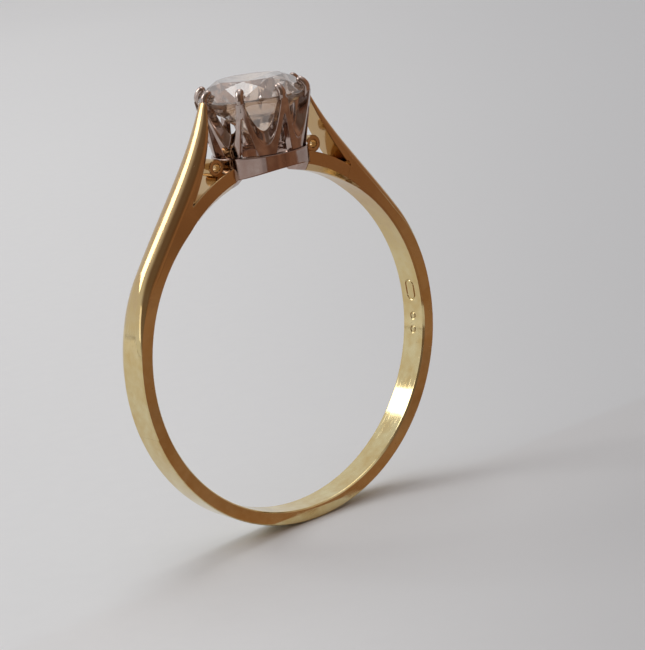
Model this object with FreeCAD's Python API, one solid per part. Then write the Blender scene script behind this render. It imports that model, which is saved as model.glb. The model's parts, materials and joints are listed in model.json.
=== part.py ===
import FreeCAD, Part
import math
import os

# A solitaire ring: gold band, two swept shoulders over pierced openings, a small
# scroll in each opening, and a white metal crown of eight claws around one stone.
# Millimetres. The origin is the centre of the finger hole, +Y is the finger's axis
# and +Z points to the stone. Angles are in the XZ plane, from +X towards +Z.

# finger hole and band
finger_radius = 8.35
band_width = 1.60
band_thickness = 0.68
edge_break = 0.08
comfort_width = 1.40

# wider easing round the top of the hole, turned about a centre above the hole's own
top_centre_rise = 1.20
top_ease_start = 0.30
top_ease_slope = 0.75
top_ease_depth = 0.45

# shoulders: where they are soldered to the band, and how they rise to the claws
joint_angle = -16.0
flat_start_angle = 0.0
crest_rise = 0.30
crest_sag = 0.17
flat_half_width = 0.73
flat_taper = 0.8
ridge_half_width = 0.03
dome_height = 0.53
dome_ratio = 0.70
strut_root_thickness = 0.80
strut_tip_thickness = 0.15
strut_thinning = 1.5
strut_tip_width = 0.56
strut_taper = 5.0
strut_edge_share = 0.9
strut_top_drop = 0.55

# lower rails, the rounded end of each opening, and the scrolls
rail_thickness = 0.80
rail_width = 1.58
rail_joint_angle = 57.5
opening_end_radius = 0.07
scroll_angle = 72.2
scroll_radius = 0.42
scroll_bore_radius = 0.20
scroll_length = 0.90
solder_seat = 0.04

# base ring and crown
base_ring_radius = 2.35
base_ring_wall = 0.55
base_ring_height = 1.15
base_ring_ledge = 0.10
base_ring_edge = 0.05
crown_height = 3.25
claw_stand = 0.25
crown_wall = 0.50
crown_twist = -5.0
claw_count = 8
claw_radius = 0.20
claw_bend_radius = 0.45
claw_bend_angle = 72.0
scallop_foot = 0.16
scallop_half_width = 0.90
scallop_power = 0.55
lip_foot = 1.05
lip_half_width = 0.80
arch_height = 1.85
arch_half_width = 0.45
arch_point_half_width = 0.04

# round brilliant stone
stone_radius = 2.60
stone_drop = 0.58
stone_table_ratio = 0.62
stone_crown_height = 0.80
stone_pavilion_depth = 2.15
stone_lower_ratio = 0.24
stone_girdle = 0.06

# letterless punch marks inside the band
punch_depth = 0.05
punch_line = 0.07
punch_oval_angle = 3.6
punch_oval_length = 1.10
punch_oval_width = 0.62
punch_dot_angles = (-5.8, -10.6)
punch_dot_radius = 0.20

Vector = FreeCAD.Vector
across = Vector(0, 1, 0)
upward = Vector(0, 0, 1)
centre = Vector(0, 0, 0)

band_radius = finger_radius + band_thickness
crest_radius = band_radius + crest_rise
rail_radius = finger_radius + rail_thickness
ledge_z = finger_radius + base_ring_height
crown_foot_radius = base_ring_radius - base_ring_ledge
claw_top_z = ledge_z + crown_height
girdle_z = claw_top_z - stone_drop
claw_pitch = 360.0 / claw_count
crown_slope = (stone_radius + claw_stand - crown_foot_radius) / (girdle_z - ledge_z)
tool_reach = 2 * crest_radius


def polar(angle, radius):
    turn = math.radians(angle)
    return Vector(radius * math.cos(turn), 0, radius * math.sin(turn))


top_centre = Vector(0, 0, top_centre_rise)
rail_arc_radius = (polar(rail_joint_angle, rail_radius) - top_centre).Length


def crown_radius(z):
    # outer radius of the crown's cone, which the claws widen to stand round the stone
    return crown_foot_radius + crown_slope * (z - ledge_z)


def turned(outline, axis):
    # a closed outline turned once around an axis through the origin
    return Part.Face(Part.makePolygon(outline + outline[:1])).revolve(centre, axis, 360)


def across_prism(edges, thickness):
    # a closed outline in the XZ plane, given its thickness evenly about Y = 0
    face = Part.Face(Part.Wire(edges))
    face.translate(across * (-thickness / 2))
    return face.extrude(across * thickness)


def smooth_edge(points):
    # a curve through points that are evenly spaced along it
    curve = Part.BSplineCurve()
    curve.interpolate(Points=points, Parameters=[float(place) for place in range(len(points))])
    return curve.toShape()


def opposite(shape):
    # the same piece on the other side of the stone, half a turn round
    copy = shape.copy()
    copy.rotate(centre, upward, 180)
    return copy


# ---- the finger's space, which every piece round the hole is cleared from

def across_space(steps, axis_z):
    # a space turned about an axis along Y: steps are pairs of half width and radius
    near = [Vector(radius, -half, 0) for half, radius in steps[::-1]]
    far = [Vector(radius, half, 0) for half, radius in steps]
    end = steps[-1][0]
    space = turned([Vector(0, -end, 0)] + near + far + [Vector(0, end, 0)], across)
    space.translate(upward * axis_z)
    return space


def make_finger_space():
    # straight under the band, and eased through its edges
    flat = comfort_width / 2
    edge = band_width / 2
    eased = edge + edge_break
    eased_radius = finger_radius + edge_break * (eased - flat) / (edge - flat)
    far = base_ring_radius + base_ring_wall
    return across_space([(flat, finger_radius), (eased, eased_radius), (far, eased_radius)], 0)


def make_top_ease():
    # only the rails, the shoulders' upper ends and the base ring reach into this easing
    touching = finger_radius - top_centre_rise
    start = top_ease_start / 2
    eased = band_width / 2 + edge_break
    far = base_ring_radius + base_ring_wall
    return across_space([
        (start, touching + top_ease_slope * (start - top_ease_start)),
        (eased, touching + top_ease_slope * (eased - top_ease_start)),
        (far, touching + top_ease_depth),
    ], top_centre_rise)


# ---- the shoulder's crest line, which ends at a claw, and its section along it

strut_top_z = claw_top_z - strut_top_drop
strut_top = Vector(crown_radius(strut_top_z), 0, strut_top_z)
strut_tip_shift = strut_top.x * math.sin(math.radians(crown_twist))
tangent_angle = (
    math.degrees(math.atan2(strut_top.z, strut_top.x))
    - math.degrees(math.acos(crest_radius / strut_top.Length))
)
sweep_start = polar(tangent_angle, crest_radius)
sweep_line = strut_top - sweep_start
sweep_out = polar(tangent_angle, 1.0)


def sweep_point(share):
    # a straight run from the band to the claw, sagging most two thirds of the way along
    deepest = 4 / 27
    sag = crest_sag * share * share * (1 - share) / deepest
    return sweep_start + sweep_line * share - sweep_out * sag


def sweep_share_at(angle):
    # how far along the sweep the direction at this angle from the centre crosses it
    low, high = 0.0, 1.0
    halvings = 40
    for _ in range(halvings):
        middle = (low + high) / 2
        point = sweep_point(middle)
        if math.degrees(math.atan2(point.z, point.x)) < angle:
            low = middle
        else:
            high = middle
    return low


fork_share = sweep_share_at(rail_joint_angle)


def strut_thickness(share):
    # hardly thinner at first than where it leaves the rail, then quickly towards the claw
    done = max(0.0, (share - fork_share) / (1 - fork_share)) ** strut_thinning
    return strut_root_thickness + (strut_tip_thickness - strut_root_thickness) * done


def band_station(angle):
    done = min(1.0, max(0.0, (angle - flat_start_angle) / (tangent_angle - flat_start_angle)))
    rise = crest_rise * done * done * (3 - 2 * done)
    return {
        "crest": polar(angle, band_radius + rise),
        "out": polar(angle, 1.0),
        "half": band_width / 2,
        "flat": max(ridge_half_width, flat_half_width * (1 - done) ** flat_taper),
        "dome": edge_break / 2 + (dome_height - edge_break / 2) * done ** 2,
        "round": done,
        "depth": band_thickness + rise + edge_break,
    }


def sweep_station(share):
    step = 0.01
    along = sweep_point(share + step) - sweep_point(share - step)
    root_half = band_width / 2
    half = root_half + (strut_tip_width / 2 - root_half) * share ** strut_taper
    thickness = strut_thickness(share)
    shift = across * (strut_tip_shift * share ** strut_taper)
    return {
        "crest": sweep_point(share) + shift,
        "out": Vector(along.z, 0, -along.x).normalize(),
        "half": half,
        "flat": ridge_half_width,
        "dome": min(dome_height, dome_ratio * half, strut_edge_share * thickness),
        "round": 1.0,
        "depth": max(thickness, 0.0) + edge_break,
    }


def bevel_points(station, side):
    # from the flat's edge down to the side face: straight on the band, domed above it
    points = []
    steps = 6
    for step in range(steps + 1):
        share = step / steps
        turn = share * math.pi / 2
        outward = share + (math.sin(turn) - share) * station["round"]
        downward = share + (1 - math.cos(turn) - share) * station["round"]
        y = station["flat"] + (station["half"] - station["flat"]) * outward
        drop = station["out"] * (-station["dome"] * downward)
        points.append(station["crest"] + drop + across * (side * y))
    return points


def shoulder_section(station, depth):
    near = bevel_points(station, -1)
    far = bevel_points(station, 1)
    inward = station["out"] * (station["dome"] - depth)
    near_foot = near[-1] + inward
    far_foot = far[-1] + inward
    return Part.Wire([
        Part.makeLine(near_foot, near[-1]),
        smooth_edge(near[::-1]),
        Part.makeLine(near[0], far[0]),
        smooth_edge(far),
        Part.makeLine(far[-1], far_foot),
        Part.makeLine(far_foot, near_foot),
    ])


def make_shoulder_blank():
    # the solid the shoulder is filed from, deep enough to reach the finger hole
    deep = crest_radius - finger_radius + strut_root_thickness
    steps = 8
    last_angle = tangent_angle - 2
    first_share = 0.08
    stations = []
    for step in range(steps + 1):
        stations.append(band_station(joint_angle + (last_angle - joint_angle) * step / steps))
    for step in range(steps):
        stations.append(sweep_station(first_share + (1 - first_share) * step / (steps - 1)))
    sections = [shoulder_section(station, deep) for station in stations]
    return Part.makeLoft(sections, True, False)


def make_opening_space():
    # everything inside the strut, from the fork up, and below the rail's joint
    steps = 8
    last_share = 1.3
    thinnest = 0.02
    inner = []
    for step in range(steps + 1):
        share = fork_share + (last_share - fork_share) * step / steps
        inner.append(sweep_point(share) - sweep_out * max(strut_thickness(share), thinnest))
    fork = inner[0]
    rail_end = polar(rail_joint_angle, rail_radius)
    top_inside = Vector(-crown_foot_radius, 0, inner[-1].z)
    low_inside = Vector(-crown_foot_radius, 0, rail_end.z)
    edges = [
        smooth_edge(inner),
        Part.makeLine(inner[-1], top_inside),
        Part.makeLine(top_inside, low_inside),
        Part.makeLine(low_inside, rail_end),
        Part.makeLine(rail_end, fork),
    ]
    return across_prism(edges, 2 * band_width), fork


def make_rail_wedge():
    # the sector above the rail's joint
    corners = [
        polar(rail_joint_angle, finger_radius / 2),
        polar(rail_joint_angle, tool_reach),
        Vector(0, 0, tool_reach),
        Vector(0, 0, finger_radius / 2),
    ]
    edges = [Part.makeLine(corners[here - 1], corners[here]) for here in range(len(corners))]
    return across_prism(edges, 2 * band_width)


def make_rail_space(rail_wedge):
    # where the rail lies: its upper face is turned about the same centre as the easing
    start = top_centre - across * band_width
    return Part.makeCylinder(rail_arc_radius, 2 * band_width, start, across).common(rail_wedge)


# ---- gold pieces

def make_shank(finger_space):
    half = band_width / 2
    flat = flat_half_width
    edge_radius = band_radius - edge_break / 2
    inside = finger_radius - edge_break
    profile = Part.makePolygon([
        Vector(inside, -half, 0),
        Vector(edge_radius, -half, 0),
        Vector(band_radius, -flat, 0),
        Vector(band_radius, flat, 0),
        Vector(edge_radius, half, 0),
        Vector(inside, half, 0),
        Vector(inside, -half, 0),
    ])
    face = Part.Face(profile)
    face.rotate(centre, across, -joint_angle)
    return face.revolve(centre, across, 180 + 2 * joint_angle).cut(finger_space)


def make_rail(rail_wedge, spaces):
    half = rail_width / 2
    disc = across_space([
        (half - edge_break, rail_arc_radius),
        (half, rail_arc_radius - edge_break),
    ], top_centre_rise)
    return disc.common(rail_wedge).cut(spaces)


def scroll_centre():
    # a round scroll stands on the rail, seated a little into it
    heading = polar(scroll_angle, 1.0)
    lift = heading.z * top_centre_rise
    offset = top_centre_rise ** 2 - (rail_arc_radius + scroll_radius - solder_seat) ** 2
    return heading * (lift + math.sqrt(lift ** 2 - offset))


def make_scroll(rail, base_ring_space):
    start = scroll_centre() - across * (scroll_length / 2)
    body = Part.makeCylinder(scroll_radius, scroll_length, start, across)
    bore = Part.makeCylinder(scroll_bore_radius, scroll_length, start, across)
    return body.cut([bore, rail, base_ring_space])


def punch_tools():
    # an outline oval and two small rings, pressed into the inside of the band
    def from_centre(angle, shape):
        shape.rotate(centre, across, 90 - angle)
        return shape.common(Part.makeCylinder(
            finger_radius + punch_depth, 2 * band_width, across * -band_width, across))

    def ring(outer, inner, stretch):
        tools = []
        for radius in (outer, inner):
            tool = Part.makeCylinder(radius, tool_reach)
            if stretch > 0:
                side = Part.makeBox(stretch, 2 * radius, tool_reach, Vector(-stretch / 2, -radius, 0))
                left = tool.copy()
                left.translate(Vector(-stretch / 2, 0, 0))
                right = tool.copy()
                right.translate(Vector(stretch / 2, 0, 0))
                tool = side.fuse([left, right])
            tools.append(tool)
        return tools[0].cut(tools[1])

    half = punch_oval_width / 2
    straight = punch_oval_length - punch_oval_width
    tools = [from_centre(punch_oval_angle, ring(half, half - punch_line, straight))]
    for angle in punch_dot_angles:
        tools.append(from_centre(angle, ring(punch_dot_radius, punch_dot_radius - punch_line, 0)))
    return tools


# ---- white metal base ring and crown

def make_base_ring(spaces):
    outer = base_ring_radius
    inner = base_ring_radius - base_ring_wall
    ring = turned([
        Vector(inner, 0, finger_radius / 2),
        Vector(outer, 0, finger_radius / 2),
        Vector(outer, 0, ledge_z - base_ring_edge),
        Vector(outer - base_ring_edge, 0, ledge_z),
        Vector(inner, 0, ledge_z),
    ], upward)
    return ring.cut(spaces)


def spread(piece, first_angle):
    # the piece repeated round the crown, once for each claw
    copies = []
    for number in range(claw_count):
        copy = piece.copy()
        copy.rotate(centre, upward, first_angle + claw_pitch * number)
        copies.append(copy)
    return copies


def scallop_outline(radius, foot, half_width, top_z):
    # a rounded V standing on its point, in the plane x = radius
    points = []
    steps = 8
    for step in range(-steps, steps + 1):
        share = step / steps
        rise = abs(share) ** (1 / scallop_power) * (top_z - foot)
        points.append(Vector(radius, share * half_width, foot + rise))
    lid_z = claw_top_z + crown_height
    lid = [
        Vector(radius, half_width, lid_z),
        Vector(radius, -half_width, lid_z),
    ]
    return Part.Wire([
        smooth_edge(points),
        Part.makeLine(points[-1], lid[0]),
        Part.makeLine(lid[0], lid[1]),
        Part.makeLine(lid[1], points[0]),
    ])


def make_scallop():
    # cut wide and deep in the crown's outer face, narrower and higher in its inner face
    top = girdle_z
    outer = crown_radius(top)
    inner = outer - crown_wall
    wide = scallop_half_width
    narrow = lip_half_width
    wide_foot = ledge_z + scallop_foot
    narrow_foot = ledge_z + lip_foot
    lean = crown_slope * (top - wide_foot) / 2
    reach = crown_wall + lean
    sections = []
    for radius in (outer - lean + reach, inner - lean - reach):
        share = (radius - (inner - lean)) / crown_wall
        sections.append(scallop_outline(
            radius,
            narrow_foot + (wide_foot - narrow_foot) * share,
            narrow + (wide - narrow) * share,
            top))
    return Part.makeLoft(sections, True, True)


def make_arch():
    low = ledge_z - crown_wall
    half_low = arch_half_width * (1 + crown_wall / arch_height)
    outline = [
        Vector(0, -half_low, low),
        Vector(0, half_low, low),
        Vector(0, arch_point_half_width, ledge_z + arch_height),
        Vector(0, -arch_point_half_width, ledge_z + arch_height),
    ]
    return Part.Face(Part.makePolygon(outline + outline[:1])).extrude(Vector(tool_reach, 0, 0))


def make_claw():
    # a round wire down the cone's face, bent in over the stone and rounded at its tip
    bend_z = girdle_z - stone_girdle
    lean = math.degrees(math.atan(crown_slope))
    run = Vector(crown_slope, 0, 1).normalize()
    root_z = ledge_z + arch_height
    axis_offset = claw_radius * math.sqrt(1 + crown_slope ** 2)
    root = Vector(crown_radius(root_z) - axis_offset, 0, root_z)
    bend = Vector(crown_radius(bend_z) - axis_offset, 0, bend_z)
    stem = Part.makeCylinder(claw_radius, (bend - root).Length, root, run)
    inward = Vector(-run.z, 0, run.x)
    pivot = bend + inward * claw_bend_radius
    disc = Part.Face(Part.Wire(Part.makeCircle(claw_radius, bend, run)))
    hook = disc.revolve(pivot, across * -1, claw_bend_angle)
    turn = math.radians(claw_bend_angle)
    across_bend = inward * (claw_bend_radius * math.cos(turn))
    along_bend = run * (claw_bend_radius * math.sin(turn))
    tip = pivot - across_bend + along_bend
    return stem.fuse([hook, Part.makeSphere(claw_radius, tip)])


def make_crown(stone_space):
    low = ledge_z
    high = girdle_z - stone_girdle
    wall = turned([
        Vector(crown_radius(low) - crown_wall, 0, low),
        Vector(crown_radius(low), 0, low),
        Vector(crown_radius(high), 0, high),
        Vector(crown_radius(high) - crown_wall, 0, high),
    ], upward)
    wall = wall.cut(spread(make_scallop(), crown_twist + claw_pitch / 2))
    wall = wall.cut(spread(make_arch(), crown_twist))
    crown = wall.fuse(spread(make_claw(), crown_twist)).cut(stone_space)
    return crown.removeSplitter()


def make_crown_space():
    # the cone that the struts are filed to fit against
    low = ledge_z - crown_wall
    high = claw_top_z + crown_wall
    return Part.makeCone(crown_radius(low), crown_radius(high), high - low, Vector(0, 0, low))


# ---- the stone

def ring_of_corners(radius, z, turn_share):
    # eight corners evenly round the stone's axis
    corners = []
    for number in range(8):
        turn = math.pi / 4 * (number + turn_share)
        corners.append(Vector(radius * math.cos(turn), radius * math.sin(turn), z))
    return corners


def make_stone():
    # a round brilliant: table, stars, kites and girdle facets over mains and lower halves
    corner_radius = stone_radius / math.cos(math.pi / 16)
    half_turn = math.cos(math.pi / 8)
    edge = stone_girdle / 2
    table_radius = stone_radius * stone_table_ratio
    star_radius = (corner_radius + table_radius * half_turn) / 2
    star_share = (corner_radius - star_radius * half_turn) / (corner_radius - table_radius)
    lower_radius = stone_radius * stone_lower_ratio
    lower_share = 1 - lower_radius * half_turn / corner_radius
    table = ring_of_corners(table_radius, edge + stone_crown_height, 0)
    stars = ring_of_corners(star_radius, edge + stone_crown_height * star_share, 0.5)
    top_main = ring_of_corners(corner_radius, edge, 0)
    top_half = ring_of_corners(corner_radius, edge, 0.5)
    low_main = ring_of_corners(corner_radius, -edge, 0)
    low_half = ring_of_corners(corner_radius, -edge, 0.5)
    lowers = ring_of_corners(lower_radius, -edge - stone_pavilion_depth * lower_share, 0.5)
    culet = Vector(0, 0, -edge - stone_pavilion_depth)
    facets = [table]
    for here in range(8):
        after = (here + 1) % 8
        before = here - 1
        facets += [
            [table[here], table[after], stars[here]],
            [table[here], stars[here], top_main[here], stars[before]],
            [stars[here], top_main[here], top_half[here]],
            [stars[here], top_half[here], top_main[after]],
            [top_main[here], top_half[here], low_half[here], low_main[here]],
            [top_half[here], top_main[after], low_main[after], low_half[here]],
            [lowers[here], low_main[here], low_half[here]],
            [lowers[here], low_half[here], low_main[after]],
            [culet, lowers[before], low_main[here], lowers[here]],
        ]
    faces = [Part.Face(Part.makePolygon(facet + facet[:1])) for facet in facets]
    shell = Part.makeShell(faces)
    shell.sewShape()
    stone = Part.makeSolid(shell)
    if stone.Volume < 0:
        stone.reverse()
    low = Vector(0, 0, culet.z)
    stone = stone.common(Part.makeCylinder(stone_radius, table[0].z - culet.z, low))
    stone.rotate(centre, upward, crown_twist)
    stone.translate(Vector(0, 0, girdle_z))
    return stone


# ---- the whole ring

def build_ring():
    finger_space = make_finger_space()
    hole = [finger_space, make_top_ease()]
    opening_space, fork = make_opening_space()
    rail_wedge = make_rail_wedge()
    opening_end = Part.makeCylinder(
        opening_end_radius, 2 * band_width, fork - across * band_width, across)
    base_ring_space = Part.makeCylinder(base_ring_radius, tool_reach)
    stone = make_stone()
    crown = make_crown(stone)
    shoulder = make_shoulder_blank().cut(
        hole + [opening_space, make_rail_space(rail_wedge), opening_end, make_crown_space()])
    rail = make_rail(rail_wedge, hole + [opening_end, base_ring_space])
    scroll = make_scroll(rail, base_ring_space)
    punches = punch_tools()
    return {
        "shank": make_shank(finger_space),
        "shoulder_right": shoulder.cut(punches),
        "shoulder_left": opposite(shoulder),
        "rail_right": rail,
        "rail_left": opposite(rail),
        "scroll_right": scroll,
        "scroll_left": opposite(scroll),
        "base_ring": make_base_ring(hole),
        "crown_collet": crown,
        "stone": stone,
    }


os.makedirs("parts", exist_ok=True)
for name, shape in build_ring().items():
    shape.exportStep("parts/" + name + ".step")
    print(name, "volume", round(shape.Volume, 3), "solids", len(shape.Solids), "valid", shape.isValid())
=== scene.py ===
import json
import math

import bmesh
import bpy
from mathutils import Matrix, Vector


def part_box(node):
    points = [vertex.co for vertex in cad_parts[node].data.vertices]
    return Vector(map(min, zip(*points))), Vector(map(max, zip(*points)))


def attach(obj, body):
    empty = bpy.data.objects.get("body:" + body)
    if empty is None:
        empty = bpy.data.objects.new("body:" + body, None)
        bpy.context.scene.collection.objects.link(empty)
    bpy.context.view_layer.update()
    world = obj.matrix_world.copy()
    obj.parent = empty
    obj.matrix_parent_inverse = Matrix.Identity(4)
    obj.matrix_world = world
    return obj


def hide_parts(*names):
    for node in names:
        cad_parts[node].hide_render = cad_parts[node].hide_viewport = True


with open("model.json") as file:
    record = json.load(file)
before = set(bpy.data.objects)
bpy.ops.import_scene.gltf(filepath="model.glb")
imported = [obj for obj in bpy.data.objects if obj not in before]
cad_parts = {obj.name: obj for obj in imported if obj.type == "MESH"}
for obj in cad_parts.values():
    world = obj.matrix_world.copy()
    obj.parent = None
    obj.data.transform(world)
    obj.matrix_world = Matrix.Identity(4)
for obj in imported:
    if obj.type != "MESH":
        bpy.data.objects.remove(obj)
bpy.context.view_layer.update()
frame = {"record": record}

# A solitaire ring. All sizes below are millimetres in the ring's own frame: the origin is
# the centre of the finger hole, Y is the finger's axis and +Z points to the stone.
mm = 0.001
across = Vector((0, 1, 0))


def nodeBox(node):
    # a node's lowest and highest corners, to the hundredth of a millimetre
    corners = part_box(node)
    return [Vector([round(value / mm, 2) for value in corner]) for corner in corners]


shankBox = nodeBox("shank")
baseRingBox = nodeBox("base_ring")
stoneBox = nodeBox("stone")

hoop = {
    "holeRadius": frame["record"]["mounts"][0]["dims"]["r_mm"],
    "straightHalf": frame["record"]["mounts"][0]["dims"]["length_mm"] / 2,
    "bandHalf": shankBox[1].y,
    "bandRadius": -shankBox[0].z,
    "edgeBreak": 0.08,
    "flatHalf": 0.73,
    "jointAngle": -16.0,
    "topCentre": 1.20,
    "topStart": 0.30,
    "topSlope": 0.75,
    "topDepth": 0.45,
}
setting = {
    "ringRadius": baseRingBox[1].x,
    "ringWall": 0.55,
    "ledgeZ": baseRingBox[1].z,
    "stoneRadius": round((stoneBox[1].x - stoneBox[0].x) / 2, 1),
    "footStep": 0.10,
    "clawStand": 0.25,
    "height": 3.25,
    "stoneDrop": 0.58,
    "twist": -5.0,
    "claws": 8,
}
footRadius = setting["ringRadius"] - setting["footStep"]
clawTopZ = setting["ledgeZ"] + setting["height"]
girdleZ = clawTopZ - setting["stoneDrop"]
coneSlope = (setting["stoneRadius"] + setting["clawStand"] - footRadius) / (girdleZ - setting["ledgeZ"])
clawPitch = math.radians(360 / setting["claws"])
twist = math.radians(setting["twist"])


def polar(angle, radius):
    turn = math.radians(angle)
    return Vector((radius * math.cos(turn), 0, radius * math.sin(turn)))


def coneRadius(z):
    return footRadius + coneSlope * (z - setting["ledgeZ"])


def mix(first, second, share):
    return first + (second - first) * share


def clamp(value, low=0.0, high=1.0):
    return min(high, max(low, value))


def easeIn(share):
    share = clamp(share)
    return share * share * (3 - 2 * share)


def spaced(first, last, count):
    return [mix(first, last, step / count) for step in range(count + 1)]


def stepped(value, steps):
    # a value read from straight lines between pairs of place and height
    for here in range(len(steps) - 1):
        low, high = steps[here], steps[here + 1]
        if value <= high[0]:
            return mix(low[1], high[1], clamp((value - low[0]) / (high[0] - low[0])))
    return steps[-1][1]


bandEased = hoop["bandHalf"] + hoop["edgeBreak"]
bandSlope = hoop["edgeBreak"] / (hoop["bandHalf"] - hoop["straightHalf"])
bandEasedRadius = hoop["holeRadius"] + bandSlope * (bandEased - hoop["straightHalf"])
topTouch = hoop["holeRadius"] - hoop["topCentre"]
topSteps = [
    (hoop["topStart"] / 2, topTouch - hoop["topSlope"] * hoop["topStart"] / 2),
    (bandEased, topTouch + hoop["topSlope"] * (bandEased - hoop["topStart"])),
    (setting["ringRadius"] + setting["ringWall"], topTouch + hoop["topDepth"]),
]
bandSteps = [(hoop["straightHalf"], hoop["holeRadius"]), (bandEased, bandEasedRadius)]


def aboutTop(angle, radius):
    # the distance from the hole's centre to a circle about the easing's higher centre
    rise, run = (hoop["topCentre"] * part for part in (math.sin(angle), math.cos(angle)))
    return rise + math.sqrt(radius * radius - run * run)


def holeRadiusAt(y, angle):
    # the finger's space: straight under the band, eased at its edges, wider round the top
    y = abs(y)
    return max(stepped(y, bandSteps), aboutTop(angle, stepped(y, topSteps)))


# ---- node building, shared by the materials and the geometry trees

class Wire:
    # one node output, which takes part in ordinary arithmetic
    def __init__(self, sheet, socket):
        self.sheet = sheet
        self.socket = socket

    def maths(self, operation, first, second=0.0):
        return self.sheet.node("ShaderNodeMath", {"operation": operation}, {0: first, 1: second})

    def __add__(self, other):
        return self.maths("ADD", self, other)

    def __radd__(self, other):
        return self.maths("ADD", other, self)

    def __sub__(self, other):
        return self.maths("SUBTRACT", self, other)

    def __rsub__(self, other):
        return self.maths("SUBTRACT", other, self)

    def __mul__(self, other):
        return self.maths("MULTIPLY", self, other)

    def __rmul__(self, other):
        return self.maths("MULTIPLY", other, self)

    def largest(self, other):
        return self.maths("MAXIMUM", self, other)


class Sheet:
    # a node tree under construction
    def __init__(self, tree):
        self.tree = tree

    def node(self, kind, settings=None, sockets=None, output=0):
        made = self.tree.nodes.new(kind)
        for name, value in (settings or {}).items():
            setattr(made, name, value)
        for name, value in (sockets or {}).items():
            values = value if isinstance(value, list) else [value]
            for each in values:
                if isinstance(each, Wire):
                    self.tree.links.new(each.socket, made.inputs[name])
                else:
                    made.inputs[name].default_value = each
        return Wire(self, made.outputs[output]) if made.outputs else made


def newMaterial(name):
    material = bpy.data.materials.new(name)
    material.use_nodes = True
    material.node_tree.nodes.clear()
    return material, Sheet(material.node_tree)


# ---- materials

goldLook = {
    "rich": (0.66, 0.49, 0.22, 1),
    "pale": (0.76, 0.65, 0.37, 1),
    # painted shade: a darker brown, laid on between the two heights that follow, darkest where shoulders and
    # rails meet the crown
    "aged": (0.52, 0.335, 0.165, 1),
    "agedFrom": 1.5,
    "agedTo": 8.5,
    "roughness": 0.085,
    "scratchRoughness": 0.20,
    "wave": 0.0035,
    "scratchDepth": 0.0006,
}
whiteLook = {
    "rich": (0.30, 0.225, 0.195, 1),
    "pale": (0.60, 0.50, 0.45, 1),
    # painted shade: a darker brown, laid on between the two heights that follow, darkest low on the crown and
    # on the base ring
    "aged": (0.40, 0.27, 0.225, 1),
    "agedFrom": 12.5,
    "agedTo": 8.0,
    "roughness": 0.085,
    "scratchRoughness": 0.20,
    "wave": 0.0045,
    "scratchDepth": 0.0006,
}


def hairlines(sheet, place, turn, fineness):
    # fine straight scratches that all run one way
    turned = sheet.node("ShaderNodeMapping", {}, {
        "Vector": place, "Rotation": turn, "Scale": (0.35, fineness, 0.6)})
    noise = sheet.node("ShaderNodeTexNoise", {}, {
        "Vector": turned, "Scale": 1.0, "Detail": 3.0, "Roughness": 0.6})
    return sheet.node("ShaderNodeMapRange", {"clamp": True}, {
        "Value": noise, "From Min": 0.63, "From Max": 0.74, "To Min": 0.0, "To Max": 1.0})


def polishedMetal(name, look):
    material, sheet = newMaterial(name)
    place = sheet.node("ShaderNodeTexCoord", {}, {}, "Object")
    place = sheet.node("ShaderNodeVectorMath", {"operation": "SCALE"}, {0: place, "Scale": 1 / mm})
    broad = sheet.node("ShaderNodeTexNoise", {}, {"Vector": place, "Scale": 0.55, "Detail": 3.0})
    cloud = sheet.node("ShaderNodeTexNoise", {}, {"Vector": place, "Scale": 2.6, "Detail": 5.0})
    wave = sheet.node("ShaderNodeTexNoise", {}, {"Vector": place, "Scale": 0.9, "Detail": 1.5})
    lines = hairlines(sheet, place, (0.3, 0.5, 0.2), 16.0)
    lines = lines.largest(hairlines(sheet, place, (1.1, -0.4, 1.0), 13.0))
    lines = lines.largest(hairlines(sheet, place, (-0.6, 1.2, -0.7), 19.0))
    pits = sheet.node("ShaderNodeTexVoronoi", {}, {"Vector": place, "Scale": 2.2, "Randomness": 1.0})
    pits = sheet.node("ShaderNodeMapRange", {"clamp": True}, {
        "Value": pits, "From Min": 0.03, "From Max": 0.07, "To Min": 1.0, "To Max": 0.0})
    tone = sheet.node("ShaderNodeMapRange", {"clamp": True}, {
        "Value": broad * 0.6 + cloud * 0.4, "From Min": 0.36, "From Max": 0.64, "To Min": 0.0, "To Max": 1.0})
    color = sheet.node("ShaderNodeMix", {"data_type": "RGBA"}, {
        "Factor": tone, 6: look["rich"], 7: look["pale"]}, 2)
    height = sheet.node("ShaderNodeSeparateXYZ", {}, {"Vector": place}, 2)
    # painted shade: the metal is painted darker and browner towards the crown's foot, mottled by noise, and
    # made a little rougher there
    aged = sheet.node("ShaderNodeMapRange", {"clamp": True, "interpolation_type": "SMOOTHSTEP"}, {
        "Value": height + cloud * 5.0 - 2.0, "From Min": look["agedFrom"], "From Max": look["agedTo"],
        "To Min": 0.0, "To Max": 0.85})
    color = sheet.node("ShaderNodeMix", {"data_type": "RGBA"}, {
        "Factor": aged, 6: color, 7: look["aged"]}, 2)
    worn = sheet.node("ShaderNodeMix", {"data_type": "RGBA"}, {
        "Factor": pits * 0.5, 6: color, 7: (0.16, 0.10, 0.05, 1)}, 2)
    roughness = cloud * 0.09 + aged * 0.03 + (look["roughness"] - 0.045) + lines * look["scratchRoughness"]
    height = wave * look["wave"] - lines * look["scratchDepth"] - pits * 0.004
    bump = sheet.node("ShaderNodeBump", {}, {"Strength": 1.0, "Distance": mm, "Height": height})
    surface = sheet.node("ShaderNodeBsdfPrincipled", {}, {
        "Base Color": worn, "Metallic": 1.0, "Roughness": roughness, "Normal": bump})
    sheet.node("ShaderNodeOutputMaterial", {}, {"Surface": surface})
    return material


# painted reflection: the clear stone is given a warm pale colour above and a tan colour below the girdle,
# standing for the warm room it mirrors
stoneLook = {
    "pale": (0.98, 0.90, 0.84, 1), "soft": (0.93, 0.81, 0.73, 1), "below": (0.78, 0.52, 0.34, 1),
    "belowFrom": 0.25, "belowTo": -0.35, "index": 2.417, "clear": 0.84,
}


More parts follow.
